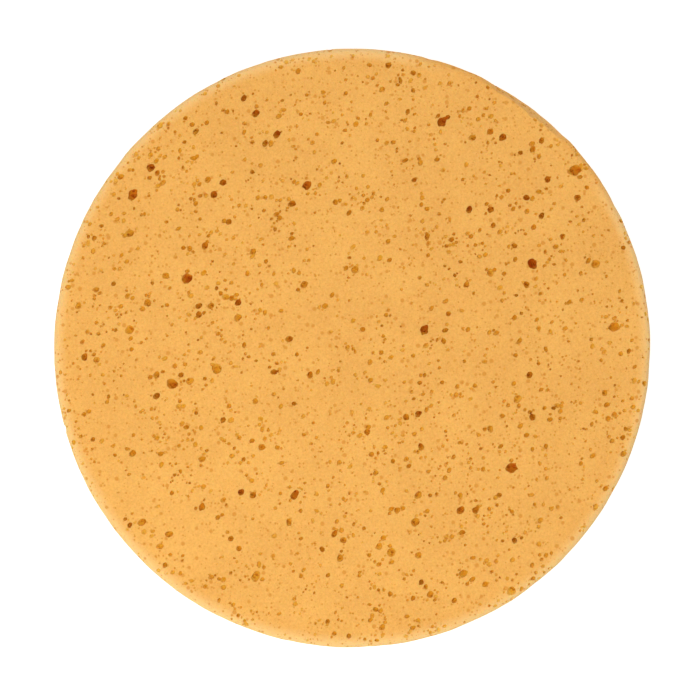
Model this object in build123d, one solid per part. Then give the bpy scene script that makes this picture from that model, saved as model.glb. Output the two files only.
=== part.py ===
from build123d import *
import math
import os
import random

# Round polishing sponge: one disc stamped from a slab of open-cell foam.
# Millimetres. +Z is up, and the origin is the centre of the face it lies on.

DIAMETER = 90.0         # across the cut outline
THICKNESS = 12.0        # height of the slab it is stamped from
EDGE_ROUND = 0.9        # soft roll of foam along both cut edges
WAIST = 0.5             # how far the sprung-back wall is hollow at mid height

# The knife leaned at one place: a slanting shave takes the top edge off there.
SHAVE_AZIMUTH = 54.0    # degrees from +X
SHAVE_WIDTH = 1.4       # how far it reaches in from the outline on the top face
SHAVE_HEIGHT = 2.2      # how far it reaches down the wall

# A cell that the cut opens is a ball whose mouth is narrower than the ball.
CELL_TO_MOUTH = 1.12    # width of the ball over the width of its mouth
CELL_SPACING = 1.6      # least distance between two centres over their mean mouth
EDGE_MARGIN = 1.2       # solid foam kept between a mouth and a cut edge
SMALLEST_MOUTH = 1.0
LARGEST_MOUTH = 1.9
BASE_CELLS = 26         # large cells open on the face it lies on
WALL_CELLS = 22         # large cells open around the wall

# Large cells open on the working face: X and Y in hundredths of the radius, mouth width.
FACE_CELLS = [
    (30, 76, 1.9), (74, 59, 1.8), (-67, 60, 1.4), (-73, 51, 1.5), (-15, 54, 1.4),
    (-55, 23, 1.6), (-16, 21, 1.3), (60, 28, 1.5), (81, 28, 1.4), (24, 6, 1.5),
    (87, 7, 1.6), (-74, 6, 1.4), (-45, -7, 1.6), (-60, -12, 1.7), (55, -17, 1.5),
    (53, -40, 1.6), (-19, -49, 1.4), (36, -55, 1.4), (21, -58, 1.3), (13, -68, 1.4),
    (-32, -76, 1.5), (37, -75, 1.3),
]

RADIUS = DIAMETER / 2


def disc():
    """The stamped disc, turned from its section: rolled edges and a hollow wall."""
    with BuildPart() as body:
        with BuildSketch(Plane.XZ):
            with BuildLine():
                low_flat = Line((0, 0), (RADIUS - EDGE_ROUND, 0))
                low_edge = TangentArc(low_flat @ 1, (RADIUS, EDGE_ROUND), tangent=(1, 0))
                top_corner = (RADIUS, THICKNESS - EDGE_ROUND)
                waist_point = (RADIUS - WAIST, THICKNESS / 2)
                ThreePointArc(low_edge @ 1, waist_point, top_corner)
                top_edge = TangentArc(top_corner, (RADIUS - EDGE_ROUND, THICKNESS), tangent=(0, 1))
                top_flat = Line(top_edge @ 1, (0, THICKNESS))
                Line(top_flat @ 1, (0, 0))
            make_face()
        revolve(axis=Axis.Z)
    return body.part


def shave():
    """The slanting slice that the leaning knife took off the top edge."""
    lean = math.degrees(math.atan2(SHAVE_WIDTH, SHAVE_HEIGHT))
    block = Box(RADIUS, DIAMETER, DIAMETER, align=(Align.MIN, Align.CENTER, Align.CENTER))
    top_of_cut = Location((RADIUS - SHAVE_WIDTH, 0, THICKNESS), (0, -lean, 0))
    return Rot(0, 0, SHAVE_AZIMUTH) * (top_of_cut * block)


def cell(mouth, mouth_width, outward):
    """A ball that opens through the surface at mouth, where outward is the way out."""
    ball_radius = mouth_width * CELL_TO_MOUTH / 2
    depth = math.sqrt(ball_radius ** 2 - (mouth_width / 2) ** 2)
    return Pos(*(mouth - outward * depth)) * Sphere(ball_radius)


def face_cells():
    """The large cells of the working face, at their places."""
    places = [(x * RADIUS / 100, y * RADIUS / 100, width) for x, y, width in FACE_CELLS]
    return [cell(Vector(x, y, THICKNESS), width, Vector(0, 0, 1)) for x, y, width in places]


def spaced_mouths(count, draw, distance):
    """Random mouths, each kept clear of those before it."""
    mouths = []
    while len(mouths) < count:
        new = draw()
        if all(distance(new, old) > CELL_SPACING * (new[2] + old[2]) / 2 for old in mouths):
            mouths.append(new)
    return mouths


def base_cells(chance):
    """Large cells scattered over the face that the sponge lies on."""
    reach = RADIUS - EDGE_ROUND - EDGE_MARGIN - LARGEST_MOUTH / 2

    def draw():
        out = reach * math.sqrt(chance.uniform(0.01, 1))
        turn = chance.uniform(0, 2 * math.pi)
        width = chance.uniform(SMALLEST_MOUTH, LARGEST_MOUTH)
        return out * math.cos(turn), out * math.sin(turn), width

    mouths = spaced_mouths(BASE_CELLS, draw, lambda a, b: math.dist(a[:2], b[:2]))
    return [cell(Vector(x, y, 0), width, Vector(0, 0, -1)) for x, y, width in mouths]


def wall_cells(chance):
    """Large cells scattered around the wall, clear of both edges."""
    margin = EDGE_ROUND + EDGE_MARGIN + LARGEST_MOUTH / 2

    def draw():
        along = chance.uniform(0, 2 * math.pi * RADIUS)
        height = chance.uniform(margin, THICKNESS - margin)
        return along, height, chance.uniform(SMALLEST_MOUTH, LARGEST_MOUTH)

    cells = []
    for along, height, width in spaced_mouths(WALL_CELLS, draw, lambda a, b: math.dist(a[:2], b[:2])):
        outward = Vector(1, 0, 0).rotate(Axis.Z, math.degrees(along / RADIUS))
        cells.append(cell(outward * (RADIUS - WAIST) + Vector(0, 0, height), width, outward))
    return cells


chance = random.Random(7)
sponge = disc() - shave()
sponge = sponge - (face_cells() + base_cells(chance) + wall_cells(chance))

os.makedirs("parts", exist_ok=True)
export_step(sponge.solid(), "parts/foam_disc.step")
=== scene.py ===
import math
import random

import bmesh
import bpy
from mathutils import Matrix, Vector, kdtree, noise
from mathutils.bvhtree import BVHTree


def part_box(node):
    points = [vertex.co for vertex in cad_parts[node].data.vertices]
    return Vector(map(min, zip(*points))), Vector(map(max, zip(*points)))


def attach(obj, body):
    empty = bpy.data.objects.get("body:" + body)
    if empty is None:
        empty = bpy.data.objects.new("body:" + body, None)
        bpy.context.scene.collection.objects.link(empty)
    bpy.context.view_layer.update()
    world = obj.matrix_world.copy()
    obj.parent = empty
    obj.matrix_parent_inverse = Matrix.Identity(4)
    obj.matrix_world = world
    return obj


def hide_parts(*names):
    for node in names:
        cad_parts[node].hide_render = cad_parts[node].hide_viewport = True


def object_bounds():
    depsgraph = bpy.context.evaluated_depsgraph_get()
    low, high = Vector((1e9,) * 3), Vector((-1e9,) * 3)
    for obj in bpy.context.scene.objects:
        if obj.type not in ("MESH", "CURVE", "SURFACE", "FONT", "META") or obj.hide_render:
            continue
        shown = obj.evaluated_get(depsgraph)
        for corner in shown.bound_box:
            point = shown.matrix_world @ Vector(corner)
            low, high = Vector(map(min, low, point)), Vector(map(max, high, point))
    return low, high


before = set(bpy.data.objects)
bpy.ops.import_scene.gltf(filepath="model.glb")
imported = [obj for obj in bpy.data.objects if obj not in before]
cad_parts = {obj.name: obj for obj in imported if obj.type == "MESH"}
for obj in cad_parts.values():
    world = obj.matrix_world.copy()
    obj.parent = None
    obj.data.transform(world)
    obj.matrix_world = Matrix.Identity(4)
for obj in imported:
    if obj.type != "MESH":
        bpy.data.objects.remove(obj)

cad_low, cad_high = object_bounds()
MM = 0.001

# ---------------------------------------------------------------------------
# Camera, lamps and floor. The sponge lies on a white table and is seen from
# straight above, a little off centre, in a bright and nearly shadowless room.
# ---------------------------------------------------------------------------
view_width = 104.8 * MM       # what the square picture spans at the working face
camera_height = 700 * MM
aim_x, aim_y = -0.32 * MM, -0.31 * MM
sensor = 36.0

camera_data = bpy.data.cameras.new("camera")
camera_data.sensor_width = sensor
camera_data.lens = sensor * (camera_height - cad_high.z) / view_width
camera_data.clip_start, camera_data.clip_end = 0.01, 20
camera = bpy.data.objects.new("camera", camera_data)
camera.location = (aim_x, aim_y, camera_height)
bpy.context.scene.collection.objects.link(camera)
bpy.context.scene.camera = camera
bpy.context.scene.view_settings.view_transform = "Standard"


def soft_lamp(name, place, size, watts, colour):
    """A square softbox that faces the middle of the sponge."""
    data = bpy.data.lights.new(name, "AREA")
    data.size = size
    data.energy = watts
    data.color = colour
    lamp = bpy.data.objects.new(name, data)
    lamp.location = place
    lamp.rotation_euler = (-Vector(place)).to_track_quat("-Z", "Y").to_euler()
    bpy.context.scene.collection.objects.link(lamp)


soft_lamp("window_lamp", (-0.10, -0.15, 0.30), 0.25, 0.63, (1.0, 0.99, 0.86))
soft_lamp("far_lamp", (0.08, 0.42, 0.45), 0.40, 0.70, (1.0, 0.90, 0.98))


def seen_directly(nodes, links):
    """One where a ray comes from the camera, or by way of gloss or glass, and zero elsewhere."""
    path = nodes.new("ShaderNodeLightPath")
    total = path.outputs["Is Camera Ray"]
    for other in ("Is Glossy Ray", "Is Transmission Ray"):
        more = nodes.new("ShaderNodeMath")
        more.operation = "MAXIMUM"
        links.new(total, more.inputs[0])
        links.new(path.outputs[other], more.inputs[1])
        total = more.outputs[0]
    return total


room_light = 0.505
world = bpy.data.worlds.new("room")
bpy.context.scene.world = world
world.use_nodes = True
room_nodes, room_links = world.node_tree.nodes, world.node_tree.links
room_nodes.clear()
room_soft = room_nodes.new("ShaderNodeBackground")
room_soft.inputs["Color"].default_value = (1, 1, 1, 1)
room_soft.inputs["Strength"].default_value = room_light
room_white = room_nodes.new("ShaderNodeBackground")
room_white.inputs["Color"].default_value = (1, 1, 1, 1)
room_white.inputs["Strength"].default_value = 1.0
room_mix = room_nodes.new("ShaderNodeMixShader")
room_out = room_nodes.new("ShaderNodeOutputWorld")
room_links.new(seen_directly(room_nodes, room_links), room_mix.inputs["Fac"])
room_links.new(room_soft.outputs[0], room_mix.inputs[1])
room_links.new(room_white.outputs[0], room_mix.inputs[2])
room_links.new(room_mix.outputs[0], room_out.inputs["Surface"])

table_half = 1.5
table_drop = 0.02 * MM        # keeps the table clear of the face that lies on it
table_white = (0.86, 0.86, 0.86, 1)
table_glow = 0.62             # what direct sight adds to the table's own white
table_mesh = bpy.data.meshes.new("table")
table_bm = bmesh.new()
bmesh.ops.create_grid(table_bm, x_segments=1, y_segments=1, size=table_half,
                      matrix=Matrix.Translation((0, 0, -table_drop)))
table_bm.to_mesh(table_mesh)
table_bm.free()
table = bpy.data.objects.new("table", table_mesh)
bpy.context.scene.collection.objects.link(table)
table_paint = bpy.data.materials.new("table_white")
table_paint.use_nodes = True
paint_nodes, paint_links = table_paint.node_tree.nodes, table_paint.node_tree.links
paint_nodes.clear()
paint_matt = paint_nodes.new("ShaderNodeBsdfDiffuse")
paint_matt.inputs["Color"].default_value = table_white
paint_glow = paint_nodes.new("ShaderNodeEmission")
paint_amount = paint_nodes.new("ShaderNodeMath")
paint_amount.operation = "MULTIPLY"
paint_amount.inputs[1].default_value = table_glow
paint_sum = paint_nodes.new("ShaderNodeAddShader")
paint_out = paint_nodes.new("ShaderNodeOutputMaterial")
paint_links.new(seen_directly(paint_nodes, paint_links), paint_amount.inputs[0])
paint_links.new(paint_amount.outputs[0], paint_glow.inputs["Strength"])
paint_links.new(paint_matt.outputs[0], paint_sum.inputs[0])
paint_links.new(paint_glow.outputs[0], paint_sum.inputs[1])
paint_links.new(paint_sum.outputs[0], paint_out.inputs["Surface"])
table_mesh.materials.append(table_paint)

# ---------------------------------------------------------------------------
# The foam disc, stamped from a slab with a round knife. The edges spring back
# a little rolled, the wall a little hollow, and the outline isn't quite true.
# ---------------------------------------------------------------------------
low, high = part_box("foam_disc")
radius = (high.x - low.x) / 2
base_z, face_z = low.z, high.z
thickness = face_z - base_z
edge_round = 0.9 * MM
waist = 0.5 * MM
turns = 240                   # steps around the outline
edge_steps = 5                # steps around each rolled edge
wall_steps = 6
oval = 0.13 * MM              # how far the outline is from round, long way at oval_turn
oval_turn = math.radians(70)
ripple = 0.09 * MM            # small waves that the knife left in the outline
wide_waves, fine_waves = 9, 31    # how fast the two sorts of wave run around the outline
waves_up = 90                 # and how fast the fine ones run up the wall
fine_wave_share = 0.6
shave_azimuth = math.radians(54)
shave_width = 1.15 * MM       # the knife leaned here and took the top edge off
shave_height = 2.2 * MM
shave_ragged = 0.4 * MM
rags_around, rags_up = 25, 200    # how fast the ragged cut varies, per radian and per metre
shave_ends = 0.9              # cosine of the bearing from its middle at which the shave ends


def section():
    """The half section of the disc, from the lying face's rim up to the working face's rim."""
    points = []
    for step in range(edge_steps + 1):
        turn = math.radians(90) * step / edge_steps
        points.append((radius - edge_round * (1 - math.sin(turn)),
                       base_z + edge_round * (1 - math.cos(turn))))
    for step in range(1, wall_steps):
        points.append((radius, base_z + edge_round + (thickness - 2 * edge_round) * step / wall_steps))
    for step in range(edge_steps + 1):
        turn = math.radians(90) * step / edge_steps
        points.append((radius - edge_round * (1 - math.cos(turn)),
                       face_z - edge_round * (1 - math.sin(turn))))
    return points


def out_of_true(place):
    """Where a point of the true disc lies on the stamped one."""
    out = math.hypot(place.x, place.y)
    turn = math.atan2(place.y, place.x)
    way = Vector((place.x / out, place.y / out, 0))
    up_wall = Vector((0, 0, place.z * waves_up))
    wave = noise.noise(way * wide_waves) + fine_wave_share * noise.noise(way * fine_waves + up_wall)
    along = (place.z - base_z - thickness / 2) / (thickness / 2 - edge_round)
    loss = waist * max(0, 1 - along ** 2)
    loss += oval * (1 - math.cos(2 * (turn - oval_turn))) + ripple * (1 + wave)
    facing_shave = math.cos(turn - shave_azimuth)
    if facing_shave < shave_ends:
        return way * (out - loss) + Vector((0, 0, place.z))
    rag = shave_ragged * noise.noise(Vector((turn * rags_around, place.z * rags_up, 3)))
    lean = max(0, 1 - (face_z - place.z) / shave_height)
    shaved_out = (radius - shave_width * lean + rag * lean) / facing_shave
    lost_here = loss * (1 - facing_shave) / (1 - shave_ends)
    full_out = out - lost_here + min(rag, 0) / 2
    return way * min(full_out, shaved_out) + Vector((0, 0, place.z))


disc = bmesh.new()
ring = [disc.verts.new((out, 0, up)) for out, up in section()]
for lower, upper in zip(ring, ring[1:]):
    disc.edges.new((lower, upper))
bmesh.ops.spin(disc, geom=disc.verts[:] + disc.edges[:], cent=(0, 0, 0), axis=(0, 0, 1), dvec=(0, 0, 0),
               angle=math.tau, steps=turns, use_merge=True, use_duplicate=False)
bmesh.ops.holes_fill(disc, edges=disc.edges[:], sides=0)
for vert in disc.verts:
    vert.co = out_of_true(vert.co)
bmesh.ops.recalc_face_normals(disc, faces=disc.faces[:])
uncut_disc = BVHTree.FromBMesh(disc)
ball_of_face = disc.faces.layers.int.new("ball")
for face in disc.faces:
    face[ball_of_face] = -1       # this face belongs to the disc, and to no ball
disc_mesh = bpy.data.meshes.new("foam_sponge")
disc.to_mesh(disc_mesh)
disc.free()
sponge = bpy.data.objects.new("foam_sponge", disc_mesh)
bpy.context.scene.collection.objects.link(sponge)

# ---------------------------------------------------------------------------
# The open cells. Gas blew them as balls that stretched as the foam rose, and
# the knife opened those it met, as dishes, bowls and undercut pockets.
# ---------------------------------------------------------------------------
rise_turn = math.radians(48)  # which way over the face the stretched cells lean
turn_spread = 0.42            # and how far they stray from it, in radians
lean_up = 0.35                # how steeply the foam rose, over its run across the face
stretches = (1.15, 1.8)       # length of a ball over its width, least and most
tilts = (38, 72)              # degrees between a ball's length and straight down

# The large cells of the working face: X and Y in hundredths of the radius, mouth in mm.
# The deep ones are dark inside and get dark painted shade, and the open ones are wide dishes that the
# light reaches, with light painted shade.
DEEP_CELLS = [
    (29.8, 75.2, 1.6), (28.6, 77.2, 0.7), (31.8, 76.8, 0.8), (-67, 60, 1.3), (-73, 51, 1.5),
    (-15, 54, 1.4), (-55, 23, 1.6), (60, 28, 1.5), (53, -40, 1.6), (-19, -49, 1.4), (36, -54, 1.2),
    (50, 70, 1.2), (-20, 48, 1.1), (-25, 71, 1.2), (-32, 78, 1.2), (-49, 34, 1.1), (39, 46, 1.1),
    (46, 46, 1.0), (46, 72, 1.0), (-50, -53, 1.1), (-46, 51, 1.1), (54, 34, 0.9), (-1, 45, 0.9),
    (24, 6, 1.5), (-37, -48, 1.0), (-14, -9, 1.0), (-26, -8, 1.0), (67, -20, 0.7),
]
OPEN_CELLS = [
    (74, 59, 1.8), (76, 60, 1.2), (-16, 21, 1.2), (81, 28, 1.4), (87, 7, 1.6), (-74, 6, 1.4),
    (-45, -7, 1.6), (-60, -12, 1.7), (-54, -11, 1.2), (21, -58, 1.4), (13, -68, 1.4), (22, -49, 1.3),
    (-32, -76, 1.5), (37, -75, 1.3), (-70, -58, 1.2), (1, 26, 1.2), (46, 25, 1.2), (-4, -70, 1.1),
    (-30, -33, 1.1), (-50, -37, 1.1), (-64, -66, 1.1), (-85, -4, 1.1), (81, -53, 1.0),
    (10, 86, 1.0), (10, -93, 1.0), (53, -81, 1.4), (55, -17, 1.3), (80, -36, 0.9), (-74, 38, 1.3),
    (-64, 74, 1.1), (-77, 57, 1.0), (-62, 24, 1.2), (-68, 15, 1.2), (-91, 14, 1.1), (-63, 55, 1.0),
    (-42, 17, 1.2), (-38, 10, 1.2),
]
MIDDLE_CELLS = [
    (-36, 83), (-18, 92), (-52, 72), (-29, 68), (-27, 68), (-43, 55), (-48, 56), (-9, 14),
    (-54, 33), (-41, 42), (-33, 32), (-38, 15), (-6, 62), (-51, 14), (-51, 11), (-47, 14),
    (-89, -3), (-57, -9), (-59, -6), (-65, -9), (-65, -16), (-43, -24), (-73, -35), (-33, -49),
    (-74, -59), (-61, -62), (-21, -58), (-6, -62), (-3, -64), (-10, -67), (16, 89), (12, 94),
    (40, 70), (56, 65), (60, 66), (63, 69), (65, 56), (62, 52), (58, 50), (75, 50), (63, 44),
    (25, 37), (33, 36), (70, 37), (38, 21), (58, 21), (54, 10), (48, 5), (-21, 3), (15, -54),
    (41, -54), (9, -66), (22, -69), (40, -77), (23, -78), (26, -82), (34, -84), (23, -33),
    (18, -37), (18, -23), (22, -22), (5, -28), (59, -9), (49, -49), (36, -49), (58, -29),
    (56, -26), (60, -23), (46, -27), (54, -64), (84, -15),
]
middle_width = (0.85, 1.1)
small_spread = 0.45           # widths of the small cells fall off as half a bell, in mm
smallest_cell, widest_small = 0.37, 0.95
cluster_share = 0.14          # how many small cells touch a neighbour
touching = (0.38, 0.7)        # distance between two that touch, over the sum of their widths
closest = 0.36                # least distance between two mouths, over the sum of their widths
side_widths = (1.0, 1.8)      # large cells of the sides that are seen less, in mm
patch_scale = 110             # the cells are fewer in patches about 10 mm across
patch_thinning = (-0.9, 0.1)  # patch values under a draw from this range stay empty
face_margin, wall_margin = 0.2 * MM, 0.3 * MM
window_above = 0.95 * MM      # cells wider than this have holes in their own wall
window_counts = (1, 2, 2, 3)
window_widths = (0.14, 0.24)  # half width of a hole over the width of the cell
window_stray = 0.8            # how far the holes stray from the bottom of the cell
window_out = 0.95             # how far out their centres lie, over the ball's radius
COARSE, PLAIN, ROUND, FINE = 1, 0, 2, 3    # sorts of ball: times its facets are split, or rings
coarse_below, plain_below, fine_above = 0.56 * MM, 0.94 * MM, 1.4 * MM
variants = 6                  # lumpy balls of each sort
lumpiness = 0.3
lumps_across = 1.3            # how fast the lumps vary over a ball
ball_gap = 0.02 * MM          # balls closer than this are cut one after another
# How deep the centre of a ball lies, in its radii, and how dark the painted shade in its cell is, from -1
# to 1.
SUNK = {"deep": (0.25, 0.6), "open": (-0.35, 0.1), "middle": (-0.1, 0.5), "small": (-0.5, 0.32)}
SHADE = {"deep": (0.2, 1), "open": (-0.9, -0.2), "middle": (-0.9, 0.7), "small": (-1, 0.6)}
# How many cells are scattered over each side, and of which kind, in the order they are drawn.
SCATTERED = [("face", 2080, "small"), ("base", 20, "deep"), ("base", 20, "open"), ("base", 510, "small"),
             ("wall", 11, "deep"), ("wall", 11, "open"), ("wall", 430, "small")]

chance = random.Random(12)


def open_cell(neighbours, place, outward, width, kind):
    """Adds one stretched ball whose mouth, of this width, is centred on place."""
    sunk = chance.uniform(*SUNK[kind])
    stretch = chance.uniform(*stretches)
    tilt = math.radians(chance.uniform(*tilts))
    turn = rise_turn + chance.gauss(0, turn_spread)
    lean = Vector((math.cos(turn), math.sin(turn), lean_up))
    lean = (lean - outward * lean.dot(outward)).normalized()
    axis = (lean * math.sin(tilt) - outward * math.cos(tilt)).normalized()
    across = axis.cross(outward).normalized()
    reach = math.hypot(math.sin(tilt), stretch * math.cos(tilt))
    size = width / 2 / math.sqrt((1 - sunk ** 2) * stretch / reach)
    shape = Matrix((across * size, axis.cross(across) * size, axis * size * stretch)).transposed()
    out = shape.transposed() @ outward
    centre = place - shape @ out * (sunk / out.length)
    neighbours.append({"place": place, "outward": outward, "width": width, "shape": shape,
                       "centre": centre, "sunk": sunk, "shade": chance.uniform(*SHADE[kind])})


def small_width():
    """A width for a small cell: the smaller, the commoner."""
    while True:
        width = abs(chance.gauss(0, small_spread))
        if smallest_cell < width < widest_small:
            return width * MM


def large_width():
    """A width for a large cell on a side that is seen less."""
    return chance.uniform(*side_widths) * MM


def surface_at(start, towards):
    """Where a straight line first meets the uncut disc, and the way out of it there."""
    return uncut_disc.ray_cast(start, towards)[:2]


def over_face(x, y, up):
    """The surface straight above or below a point of the plan."""
    return surface_at(Vector((x, y, base_z + thickness / 2 + up * thickness)), Vector((0, 0, -up)))


def on_wall(turn, height):
    """The wall at one bearing and height."""
    way = Vector((math.cos(turn), math.sin(turn), 0))
    return surface_at(way * radius * 2 + Vector((0, 0, height)), -way)


def drawn_place(side):
    """A place anywhere on the working face, the lying face or the wall."""
    turn = chance.uniform(0, math.tau)
    if side == "wall":
        return on_wall(turn, chance.uniform(base_z + wall_margin, face_z - wall_margin))
    out = (radius - face_margin) * math.sqrt(chance.random())
    return over_face(out * math.cos(turn), out * math.sin(turn), 1 if side == "face" else -1)


def place_beside(side, mate, distance):
    """A place this far along the surface from another cell."""
    turn = chance.uniform(0, math.tau)
    right, up = distance * math.cos(turn), distance * math.sin(turn)
    if side == "wall":
        bearing = math.atan2(mate["place"].y, mate["place"].x) + right / radius
        height = min(max(mate["place"].z + up, base_z + wall_margin), face_z - wall_margin)
        return on_wall(bearing, height)
    return over_face(mate["place"].x + right, mate["place"].y + up, 1 if side == "face" else -1)


def scatter(side, neighbours, count, width_of, kind):
    """Cells over one surface, thinner in some patches, with some touching a neighbour."""
    wanted = len(neighbours) + count
    while len(neighbours) < wanted:
        width = width_of()
        clustered = bool(neighbours) and chance.random() < cluster_share
        if clustered:
            mate = chance.choice(neighbours)
            distance = (mate["width"] + width) * chance.uniform(*touching)
            place, outward = place_beside(side, mate, distance)
        else:
            place, outward = drawn_place(side)
        if place is None:
            continue
        if not clustered and noise.noise(place * patch_scale) < chance.uniform(*patch_thinning):
            continue
        if all((place - c["place"]).length > closest * (c["width"] + width) for c in neighbours):
            open_cell(neighbours, place, outward, width, kind)


cells_of = {"face": [], "base": [], "wall": []}
for kind, listed in (("deep", DEEP_CELLS), ("open", OPEN_CELLS)):
    for x, y, width in listed:
        place, outward = over_face(x * radius / 100, y * radius / 100, 1)
        open_cell(cells_of["face"], place, outward, width * MM, kind)
for x, y in MIDDLE_CELLS:
    place, outward = over_face(x * radius / 100, y * radius / 100, 1)
    open_cell(cells_of["face"], place, outward, chance.uniform(*middle_width) * MM, "middle")
for side, count, kind in SCATTERED:
    scatter(side, cells_of[side], count, small_width if kind == "small" else large_width, kind)
cells = cells_of["face"] + cells_of["base"] + cells_of["wall"]


def fineness_for(width):
    """How finely a ball with this mouth is faceted."""
    if width < coarse_below:
        return COARSE
    if width < plain_below:
        return PLAIN
    return FINE if width > fine_above else ROUND


def ball_of(centre, shape, number, fineness):
    """One ball to cut out of the foam, with the number of the cell that it belongs to."""
    spread = max(shape.col[i].length for i in range(3)) * (1 + lumpiness / 2)
    return {"centre": centre, "shape": shape, "cell": number, "fineness": fineness, "spread": spread}


def windows_of(cell, number):
    """The holes in a large cell's own wall, where it broke through to the next cells."""
    found = []
    for _ in range(chance.choice(window_counts)):
        way = Vector([chance.gauss(0, 1) for _ in range(3)]).normalized() * window_stray
        way -= cell["outward"]
        on_wall_of_cell = (cell["shape"].inverted() @ way).normalized() * window_out
        half = cell["width"] * chance.uniform(*window_widths)
        found.append(ball_of(cell["centre"] + cell["shape"] @ on_wall_of_cell,
                             Matrix.Diagonal((half, half, half)), number, COARSE))
    return found


balls = []
for number, cell in enumerate(cells):
    balls.append(ball_of(cell["centre"], cell["shape"], number, fineness_for(cell["width"])))
    if cell["width"] > window_above:
        balls += windows_of(cell, number)


def groups_apart(gap):
    """The balls in groups, in none of which any two meet."""
    tree = kdtree.KDTree(len(balls))
    for index, ball in enumerate(balls):
        tree.insert(ball["centre"], index)
    tree.balance()
    largest = max(ball["spread"] for ball in balls)
    groups = []
    for index, ball in enumerate(balls):
        near = {other for _, other, away in tree.find_range(ball["centre"], ball["spread"] + largest + gap)
                if away < ball["spread"] + balls[other]["spread"] + gap}
        home = next((group for group in groups if not near & group), None)
        if home is None:
            home = set()
            groups.append(home)
        home.add(index)
    return [sorted(group) for group in groups]


def ball_mesh(fineness, variant):
    """A lumpy ball of radius one, with a number on each face for the ball it belongs to."""
    shell = bmesh.new()
    if fineness == PLAIN:
        bmesh.ops.create_uvsphere(shell, u_segments=7, v_segments=5, radius=1)
    else:
        bmesh.ops.create_icosphere(shell, subdivisions=fineness, radius=1)
    for vert in shell.verts:
        vert.co *= 1 + lumpiness * noise.noise(vert.co * lumps_across + Vector((variant * 7, 0, fineness)))
    shell.faces.layers.int.new("ball")
    mesh = bpy.data.meshes.new("ball")
    shell.to_mesh(mesh)
    shell.free()
    return mesh


# Balls that meet are cut one after another, and all that are apart at once.
ball_meshes = {(fineness, variant): ball_mesh(fineness, variant)
               for fineness in (COARSE, PLAIN, ROUND, FINE) for variant in range(variants)}
for group in groups_apart(ball_gap):
    cutter = bmesh.new()
    cutter.faces.layers.int.new("ball")
    for index in group:
        ball = balls[index]
        mesh = ball_meshes[ball["fineness"], chance.randrange(variants)].copy()
        spin = Matrix.Rotation(chance.uniform(0, math.tau), 3, Vector((1, 1, chance.uniform(-1, 1))))
        mesh.transform(Matrix.Translation(ball["centre"]) @ (ball["shape"] @ spin).to_4x4())
        mesh.attributes["ball"].data.foreach_set("value", [index] * len(mesh.polygons))
        cutter.from_mesh(mesh)
        bpy.data.meshes.remove(mesh)
    cutter_mesh = bpy.data.meshes.new("cutter")
    cutter.to_mesh(cutter_mesh)
    cutter.free()
    cutter_object = bpy.data.objects.new("cutter", cutter_mesh)
    bpy.context.scene.collection.objects.link(cutter_object)
    cut = sponge.modifiers.new("cut", "BOOLEAN")
    cut.solver, cut.operation, cut.object = "MANIFOLD", "DIFFERENCE", cutter_object
    cut_mesh = bpy.data.meshes.new_from_object(sponge.evaluated_get(bpy.context.evaluated_depsgraph_get()))
    sponge.modifiers.remove(cut)
    sponge.data = cut_mesh
    bpy.data.objects.remove(cutter_object)

# ---------------------------------------------------------------------------
# The foam's skin. Each point knows how deep in a cell it lies and each face
# how dark its cell's painted shade is, and a map lays the faces, wall and cells out flat.
# ---------------------------------------------------------------------------
flat_normal = 0.9995          # above this a face belongs to the flat cut
steep = 0.7                   # faces that point up or down more than this go on a flat side's chart
face_map = (0.37, 0.63, 0.36 / radius)    # middle and scale of the working face on the map
base_map = (0.80, 0.20, 0.19 / radius)
strips = 4                    # the wall is laid out in as many strips, one over another
strip_turn = math.tau / strips
strip_map = (0.01, 0.01, 0.34, 0.0625, 0.055)   # corner, length, pitch and height of a strip

for cell in cells:
    cell["into"] = cell["shape"].inverted()
    cell["out"] = (cell["shape"].transposed() @ cell["outward"]).normalized()


def pressed_flat(point, cell):
    """Where a point of a cell's wall lies when that wall is pressed flat into the cell's mouth."""
    unit = cell["into"] @ (point - cell["centre"])
    side = unit - cell["out"] * unit.dot(cell["out"])
    if side.length < 1e-6:
        return cell["place"]
    rim = cell["out"] * cell["sunk"] + side.normalized() * math.sqrt(1 - cell["sunk"] ** 2)
    share = unit.angle(-cell["out"]) / (math.pi - math.acos(cell["sunk"]))
    return cell["place"] + (cell["centre"] + cell["shape"] @ rim - cell["place"]) * min(share, 1)


def mapped(point, outward, middle):
    """The point's place on the map, on the chart of the side that it is on."""
    if abs(outward.z) > steep:
        across, up, scale = face_map if outward.z > 0 else base_map
        return across + point.x * scale, up + point.y * scale
    bearing = math.atan2(middle.y, middle.x) % math.tau
    strip = int(bearing / strip_turn)
    beyond = (math.atan2(point.y, point.x) - bearing + math.pi) % math.tau - math.pi
    left, bottom, length, pitch, tall = strip_map
    return (left + length * (bearing + beyond - strip * strip_turn) / strip_turn,
            bottom + pitch * strip + tall * (point.z - base_z) / thickness)


skin = bmesh.new()
skin.from_mesh(sponge.data)
unseen, crumbs = set(skin.verts), []
while unseen:
    edge_of_piece = [unseen.pop()]
    crumbs.append(list(edge_of_piece))
    while edge_of_piece:
        vert = edge_of_piece.pop()
        for other in [e.other_vert(vert) for e in vert.link_edges]:
            if other in unseen:
                unseen.remove(other)
                edge_of_piece.append(other)
                crumbs[-1].append(other)
crumbs.sort(key=len)
bmesh.ops.delete(skin, geom=[v for crumb in crumbs[:-1] for v in crumb], context="VERTS")

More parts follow.
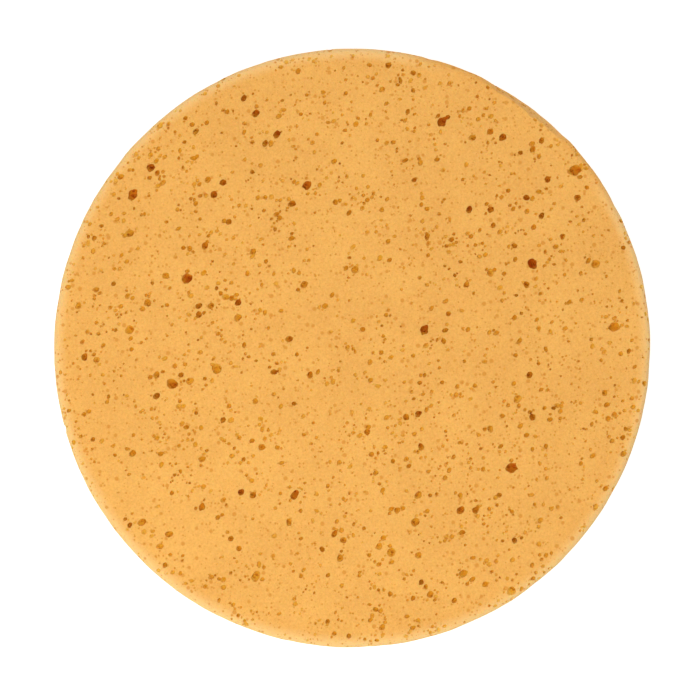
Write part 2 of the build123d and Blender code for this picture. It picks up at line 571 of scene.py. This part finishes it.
ball_of_face = skin.faces.layers.int["ball"]
cell_depth = skin.verts.layers.float.new("cell_depth")
cell_shade = skin.faces.layers.float.new("cell_shade")
flat_map = skin.loops.layers.uv.new("OFBake")
for face in skin.faces:
    index = face[ball_of_face]
    middle = face.calc_center_median()
    if index < 0:
        face.smooth = abs(face.normal.z) < flat_normal
        for loop in face.loops:
            loop[flat_map].uv = mapped(loop.vert.co, face.normal, middle)
        continue
    cell = cells[balls[index]["cell"]]
    face.smooth = True
    face[cell_shade] = cell["shade"]
    for loop in face.loops:
        point = loop.vert.co
        loop.vert[cell_depth] = uncut_disc.find_nearest(point)[3] / MM
        loop[flat_map].uv = mapped(pressed_flat(point, cell), cell["outward"], cell["place"])
for edge in skin.edges:
    edge.smooth = len({face[ball_of_face] for face in edge.link_faces}) == 1
skin.to_mesh(sponge.data)
skin.free()
sponge.data.attributes.remove(sponge.data.attributes["ball"])

# ---------------------------------------------------------------------------
# The foam itself: dry orange-yellow polyurethane, quite matt and a little clear to light. Painted shade
# darkens its fine and cut cells from gold to red-brown with depth, and a painted glow lightens its stamped
# edges.
# ---------------------------------------------------------------------------
foam_light, foam_dark = (0.99, 0.535, 0.134, 1), (0.80, 0.39, 0.086, 1)
# Painted shade of the tiny cells and dents that are not cut.
painted_pit_shade = (0.72, 0.29, 0.035, 1)
# Painted shade in the cut cells, warm as light bounced inside them: gold near the mouth to red-brown deep
# down.
PAINTED_DEPTH_SHADE = [(0.0, (1, 1, 1)), (0.05, (0.90, 0.87, 0.50)), (0.25, (0.86, 0.78, 0.17)),
               (0.6, (0.80, 0.59, 0.06)), (1.0, (0.78, 0.42, 0.025))]
deepest = 1.4                 # mm, where the darkest painted shade is reached
painted_rim_glow = (1.0, 0.66, 0.28, 1)     # painted glow of light through the thin stamped edges
glow_reach = 2.4 * MM         # how far in from an edge the painted glow reaches
glow_strength = 0.85
edge_ends = (0.86, 0.95)      # towards the shave the painted glow fades out, in radii from the axis
# How strongly painted shade darkens the tiny cells and dents.
prick_strength, hole_strength, pock_strength = 0.45, 0.85, 0.75
shade_share = 0.35            # how much a dark cell's painted shade hastens with depth
cloud_size, lump_size, fuzz_size = 9 * MM, 0.32 * MM, 0.15 * MM
cloud_share, lump_share, fuzz_share = 0.25, 0.5, 0.25
noise_low, noise_high = 0.3, 0.7     # most of the noise lies between these
spot_core, spot_rim = 0.6, 1.15      # a spot fades out between these, over its radius
bump_strength, bump_height = 0.7, 0.12 * MM

foam = bpy.data.materials.new("orange_foam")
foam.use_nodes = True
nodes, links = foam.node_tree.nodes, foam.node_tree.links
shader = nodes["Principled BSDF"]


def node(kind, feeds=(), **settings):
    """A node of the foam's material, with its settings and what feeds it."""
    made = nodes.new(kind)
    for name, value in settings.items():
        setattr(made, name, value)
    for socket, source in feeds:
        if isinstance(source, bpy.types.NodeSocket):
            links.new(source, made.inputs[socket])
        else:
            made.inputs[socket].default_value = source
    return made


def sums(operation, *terms):
    """One step of arithmetic on the foam's values."""
    return node("ShaderNodeMath", list(enumerate(terms)), operation=operation).outputs[0]


def ranged(value, low_in, high_in, low_out, high_out):
    """A value carried smoothly from one range to another."""
    feeds = [("Value", value), ("From Min", low_in), ("From Max", high_in), ("To Min", low_out),
             ("To Max", high_out)]
    return node("ShaderNodeMapRange", feeds, interpolation_type="SMOOTHSTEP").outputs[0]


def mixed(blend, factor, first, second):
    """Two colours mixed."""
    made = node("ShaderNodeMix", data_type="RGBA", blend_type=blend)
    for socket, source in ((0, factor), (6, first), (7, second)):
        if isinstance(source, bpy.types.NodeSocket):
            links.new(source, made.inputs[socket])
        else:
            made.inputs[socket].default_value = source
    return made.outputs[2]


where = node("ShaderNodeTexCoord").outputs["Object"]


def grain(size, detail):
    """Cloudy noise whose lumps are about this wide."""
    feeds = [("Vector", where), ("Scale", 1 / size), ("Detail", detail), ("Roughness", 0.6)]
    return node("ShaderNodeTexNoise", feeds).outputs["Fac"]


def fine_cells(spacing, widest, share):
    """Round spots this far apart and up to this wide, in this share of the places."""
    feeds = [("Vector", where), ("Scale", 1 / spacing), ("Randomness", 1.0)]
    spots = node("ShaderNodeTexVoronoi", feeds)
    parts = node("ShaderNodeSeparateColor", [("Color", spots.outputs["Color"])])
    edge = sums("MULTIPLY_ADD", parts.outputs[0], widest / spacing / 3, widest / spacing / 6)
    inside = ranged(sums("DIVIDE", spots.outputs["Distance"], edge), spot_core, spot_rim, 1, 0)
    return sums("MULTIPLY", inside, sums("LESS_THAN", parts.outputs[1], share))


# Tiny cells and dents too small to cut: the bump presses them in, and painted shade darkens them.
pocks = fine_cells(spacing=1.1 * MM, widest=0.75 * MM, share=0.5)
pin_holes = fine_cells(spacing=0.60 * MM, widest=0.42 * MM, share=0.5)
pin_pricks = fine_cells(spacing=0.30 * MM, widest=0.22 * MM, share=0.6)
place_parts = node("ShaderNodeSeparateXYZ", [("Vector", where)]).outputs
across_squared = sums("MULTIPLY_ADD", place_parts["X"], place_parts["X"],
                      sums("MULTIPLY", place_parts["Y"], place_parts["Y"]))
from_axis = sums("SQRT", across_squared)
from_middle = sums("ABSOLUTE", sums("SUBTRACT", place_parts["Z"], base_z + thickness / 2))
# Painted glow along the stamped edges, fading out towards the shave.
rim_glow_mask = sums("MULTIPLY", ranged(from_axis, radius - glow_reach, radius - 0.1 * MM, 0, 1),
                 ranged(from_middle, thickness / 2 - glow_reach, thickness / 2 - 0.3 * MM, 0, 1))
towards_shave = (math.cos(shave_azimuth), math.sin(shave_azimuth), 0)
shave_dot = node("ShaderNodeVectorMath", [(0, where), (1, towards_shave)], operation="DOT_PRODUCT")
off_shave = ranged(shave_dot.outputs["Value"], edge_ends[0] * radius, edge_ends[1] * radius, 1, 0)
rim_glow_mask = sums("MULTIPLY", rim_glow_mask, off_shave)
clouds = ranged(grain(cloud_size, 3), noise_low, noise_high, 0, 1)
lumps = grain(lump_size, 3)
fuzz = grain(fuzz_size, 2)
depth = node("ShaderNodeAttribute", attribute_name="cell_depth").outputs["Fac"]
shade = node("ShaderNodeAttribute", attribute_name="cell_shade").outputs["Fac"]

mottled = sums("MULTIPLY", clouds, cloud_share)
mottled = sums("MULTIPLY_ADD", ranged(lumps, noise_low, noise_high, 0, 1), lump_share, mottled)
mottled = sums("MULTIPLY_ADD", ranged(fuzz, noise_low, noise_high, 0, 1), fuzz_share, mottled)
skin_tone = mixed("MIX", mottled, foam_dark, foam_light)
# Painted glow: the edges are lightened as if lit through.
skin_tone = mixed("MIX", sums("MULTIPLY", rim_glow_mask, glow_strength), skin_tone, painted_rim_glow)
# Painted shade in the tiny cells and dents.
skin_tone = mixed("MIX", sums("MULTIPLY", pin_pricks, prick_strength), skin_tone, painted_pit_shade)
skin_tone = mixed("MIX", sums("MULTIPLY", pin_holes, hole_strength), skin_tone, painted_pit_shade)
skin_tone = mixed("MIX", sums("MULTIPLY", pocks, pock_strength), skin_tone, painted_pit_shade)
# Painted shade: the colour is darkened by how deep a point lies in its cell, sooner in cells given darker
# painted shade.
shade_depth = sums("MULTIPLY", depth, sums("MULTIPLY_ADD", shade, shade_share / deepest, 1 / deepest))
painted_shade_ramp = node("ShaderNodeValToRGB", [("Fac", shade_depth)])
stops = painted_shade_ramp.color_ramp.elements
for at, colour in PAINTED_DEPTH_SHADE[1:-1]:
    stops.new(at)
for stop, (at, colour) in zip(sorted(stops, key=lambda e: e.position), PAINTED_DEPTH_SHADE):
    stop.position, stop.color = at, (*colour, 1)
links.new(mixed("MULTIPLY", 1.0, skin_tone, painted_shade_ramp.outputs["Color"]), shader.inputs["Base Color"])

height = sums("SUBTRACT", sums("MULTIPLY_ADD", lumps, 0.8, sums("MULTIPLY", fuzz, 0.5)),
              sums("MULTIPLY_ADD", pin_holes, 0.4, sums("MULTIPLY", pocks, 0.4)))
bump = node("ShaderNodeBump", [("Height", height), ("Strength", bump_strength), ("Distance", bump_height)])
links.new(bump.outputs["Normal"], shader.inputs["Normal"])
links.new(ranged(fuzz, noise_low, noise_high, 0.82, 0.97), shader.inputs["Roughness"])
shader.inputs["Specular IOR Level"].default_value = 0.25
shader.inputs["Sheen Weight"].default_value = 0.08
shader.inputs["Sheen Roughness"].default_value = 0.5
shader.inputs["Subsurface Weight"].default_value = 0.25
shader.inputs["Subsurface Radius"].default_value = (1.0, 0.45, 0.12)
shader.inputs["Subsurface Scale"].default_value = 1.2 * MM
sponge.data.materials.clear()
sponge.data.materials.append(foam)

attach(sponge, "root")
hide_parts("foam_disc")
